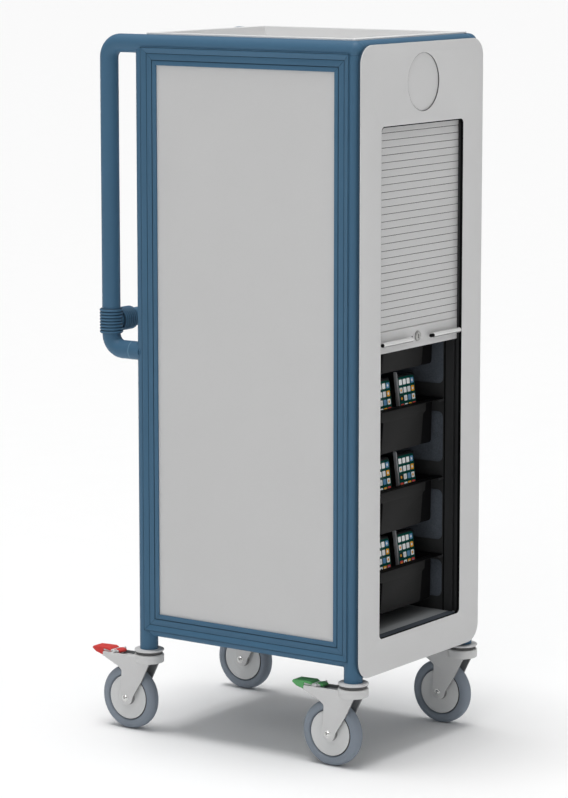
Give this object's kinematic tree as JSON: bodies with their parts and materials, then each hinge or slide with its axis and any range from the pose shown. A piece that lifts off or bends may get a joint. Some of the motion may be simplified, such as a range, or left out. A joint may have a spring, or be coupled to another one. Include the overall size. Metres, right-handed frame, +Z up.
{
  "type": "phone storage trolley",
  "caption": "Upright tube-framed trolley on swivel castors, with a roller shutter over pull-out phone trays, poster sides, a top tray and a push handle.",
  "frame": {"origin": "on the floor, under the middle of the bounding box", "axes": "+Z up, -Y to the shutter front, +Y to the push handle, +X to the right seen from the front"},
  "size_m": [0.437, 0.6266, 1.3365],
  "materials": {
    "blue_paint": "satin powder coat",
    "grey_panel": "fine textured matt",
    "slat_grey": "satin extruded slats",
    "black_plastic": "fine textured moulding",
    "bright_metal": "satin bright metal",
    "castor_grey": "satin moulded nylon",
    "grey_rubber": "matt rubber tread",
    "red_plastic": "satin moulding",
    "green_plastic": "satin moulding"
  },
  "bodies": {
    "carcass": {"front_hoop": "blue_paint", "rear_hoop": "blue_paint", "handle_rail_left": "blue_paint", "handle_rail_right": "blue_paint", "bottom_rail_left": "blue_paint", "bottom_rail_right": "blue_paint", "bottom_rail_rear": "blue_paint", "push_bar": "blue_paint", "push_bar_clamp_left": "blue_paint", "push_bar_clamp_right": "blue_paint", "top_tray": "grey_panel", "front_panel": "grey_panel", "rear_panel": "grey_panel", "base_panel": "black_plastic", "runner_panel_left": "black_plastic", "runner_panel_right": "black_plastic", "poster_panel_left": "grey_panel", "poster_panel_right": "grey_panel", "tray_4": "black_plastic", "tray_5": "black_plastic", "tray_6": "black_plastic", "castor_collar_front_left": "castor_grey", "castor_collar_front_right": "castor_grey", "castor_collar_rear_left": "castor_grey", "castor_collar_rear_right": "castor_grey"},
    "shutter": {"tambour_curtain": "slat_grey", "door_rail": "slat_grey", "door_grip_left": "bright_metal", "door_grip_right": "bright_metal"},
    "lock": {"lock_barrel": "bright_metal"},
    "roller": {"shutter_roller": "slat_grey"},
    "tray_1": {"tray_1": "black_plastic"},
    "tray_2": {"tray_2": "black_plastic"},
    "tray_3": {"tray_3": "black_plastic"},
    "snap_rail_left_front": {"snap_rail_left_front": "blue_paint"},
    "snap_rail_left_rear": {"snap_rail_left_rear": "blue_paint"},
    "snap_rail_left_top": {"snap_rail_left_top": "blue_paint"},
    "snap_rail_left_bottom": {"snap_rail_left_bottom": "blue_paint"},
    "snap_rail_right_front": {"snap_rail_right_front": "blue_paint"},
    "snap_rail_right_rear": {"snap_rail_right_rear": "blue_paint"},
    "snap_rail_right_top": {"snap_rail_right_top": "blue_paint"},
    "snap_rail_right_bottom": {"snap_rail_right_bottom": "blue_paint"},
    "castor_front_left": {"castor_fork_front_left": "castor_grey", "wheel_axle_front_left": "bright_metal"},
    "wheel_front_left": {"wheel_hub_front_left": "castor_grey", "wheel_tyre_front_left": "grey_rubber"},
    "pedal_front_left": {"brake_pedal_front_left": "green_plastic"},
    "castor_front_right": {"castor_fork_front_right": "castor_grey", "wheel_axle_front_right": "bright_metal"},
    "wheel_front_right": {"wheel_hub_front_right": "castor_grey", "wheel_tyre_front_right": "grey_rubber"},
    "castor_rear_left": {"castor_fork_rear_left": "castor_grey", "wheel_axle_rear_left": "bright_metal"},
    "wheel_rear_left": {"wheel_hub_rear_left": "castor_grey", "wheel_tyre_rear_left": "grey_rubber"},
    "pedal_rear_left": {"brake_pedal_rear_left": "red_plastic"},
    "castor_rear_right": {"castor_fork_rear_right": "castor_grey", "wheel_axle_rear_right": "bright_metal"},
    "wheel_rear_right": {"wheel_hub_rear_right": "castor_grey", "wheel_tyre_rear_right": "grey_rubber"}
  },
  "joints": [
    {"name": "shutter_slide", "type": "slide", "parent": "carcass", "child": "shutter", "axis": [0, 0, 1], "range_m": [-0.527, 0.39], "deforming": ["tambour_curtain"]},
    {"name": "roller_spin", "type": "hinge", "parent": "carcass", "child": "roller", "pos_m": [0, -0.25345, 1.232], "axis": [1, 0, 0], "range_deg": [-610, 810]},
    {"name": "lock_turn", "type": "hinge", "parent": "shutter", "child": "lock", "pos_m": [0, -0.29375, 0.7835], "axis": [0, 1, 0], "range_deg": [0, 90]},
    {"name": "tray_1_slide", "type": "slide", "parent": "carcass", "child": "tray_1", "axis": [0, -1, 0], "range_m": [0, 0.3]},
    {"name": "tray_2_slide", "type": "slide", "parent": "carcass", "child": "tray_2", "axis": [0, -1, 0], "range_m": [0, 0.3]},
    {"name": "tray_3_slide", "type": "slide", "parent": "carcass", "child": "tray_3", "axis": [0, -1, 0], "range_m": [0, 0.3]},
    {"name": "snap_left_front_flip", "type": "hinge", "parent": "carcass", "child": "snap_rail_left_front", "pos_m": [-0.2078, -0.28345, 0.7565], "axis": [0, 0, 1], "range_deg": [0, 90]},
    {"name": "snap_left_rear_flip", "type": "hinge", "parent": "carcass", "child": "snap_rail_left_rear", "pos_m": [-0.2078, 0.18395, 0.7565], "axis": [0, 0, -1], "range_deg": [0, 90]},
    {"name": "snap_left_top_flip", "type": "hinge", "parent": "carcass", "child": "snap_rail_left_top", "pos_m": [-0.2078, -0.04975, 1.3114], "axis": [0, 1, 0], "range_deg": [0, 90]},
    {"name": "snap_left_bottom_flip", "type": "hinge", "parent": "carcass", "child": "snap_rail_left_bottom", "pos_m": [-0.2078, -0.04975, 0.2016], "axis": [0, -1, 0], "range_deg": [0, 90]},
    {"name": "snap_right_front_flip", "type": "hinge", "parent": "carcass", "child": "snap_rail_right_front", "pos_m": [0.2078, -0.28345, 0.7565], "axis": [0, 0, -1], "range_deg": [0, 90]},
    {"name": "snap_right_rear_flip", "type": "hinge", "parent": "carcass", "child": "snap_rail_right_rear", "pos_m": [0.2078, 0.18395, 0.7565], "axis": [0, 0, 1], "range_deg": [0, 90]},
    {"name": "snap_right_top_flip", "type": "hinge", "parent": "carcass", "child": "snap_rail_right_top", "pos_m": [0.2078, -0.04975, 1.3114], "axis": [0, -1, 0], "range_deg": [0, 90]},
    {"name": "snap_right_bottom_flip", "type": "hinge", "parent": "carcass", "child": "snap_rail_right_bottom", "pos_m": [0.2078, -0.04975, 0.2016], "axis": [0, 1, 0], "range_deg": [0, 90]},
    {"name": "swivel_front_left", "type": "hinge", "parent": "carcass", "child": "castor_front_left", "pos_m": [-0.19, -0.28475, 0.136], "axis": [0, 0, 1], "continuous": true},
    {"name": "roll_front_left", "type": "hinge", "parent": "castor_front_left", "child": "wheel_front_left", "pos_m": [-0.19, -0.24015, 0.06196], "axis": [1, 0, 0], "continuous": true},
    {"name": "brake_front_left", "type": "hinge", "parent": "castor_front_left", "child": "pedal_front_left", "pos_m": [-0.19, -0.21275, 0.15], "axis": [-1, 0, 0], "range_deg": [0, 11]},
    {"name": "swivel_front_right", "type": "hinge", "parent": "carcass", "child": "castor_front_right", "pos_m": [0.19, -0.28475, 0.136], "axis": [0, 0, 1], "continuous": true},
    {"name": "roll_front_right", "type": "hinge", "parent": "castor_front_right", "child": "wheel_front_right", "pos_m": [0.19, -0.24015, 0.06196], "axis": [1, 0, 0], "continuous": true},
    {"name": "swivel_rear_left", "type": "hinge", "parent": "carcass", "child": "castor_rear_left", "pos_m": [-0.19, 0.18525, 0.136], "axis": [0, 0, 1], "continuous": true},
    {"name": "roll_rear_left", "type": "hinge", "parent": "castor_rear_left", "child": "wheel_rear_left", "pos_m": [-0.19, 0.22985, 0.06196], "axis": [1, 0, 0], "continuous": true},
    {"name": "brake_rear_left", "type": "hinge", "parent": "castor_rear_left", "child": "pedal_rear_left", "pos_m": [-0.19, 0.25725, 0.15], "axis": [-1, 0, 0], "range_deg": [0, 11]},
    {"name": "swivel_rear_right", "type": "hinge", "parent": "carcass", "child": "castor_rear_right", "pos_m": [0.19, 0.18525, 0.136], "axis": [0, 0, 1], "continuous": true},
    {"name": "roll_rear_right", "type": "hinge", "parent": "castor_rear_right", "child": "wheel_rear_right", "pos_m": [0.19, 0.22985, 0.06196], "axis": [1, 0, 0], "continuous": true}
  ],
  "couplings": [
    {"joint": "roller_spin", "follows": "shutter_slide", "rad_per_m": -26.667}
  ]
}
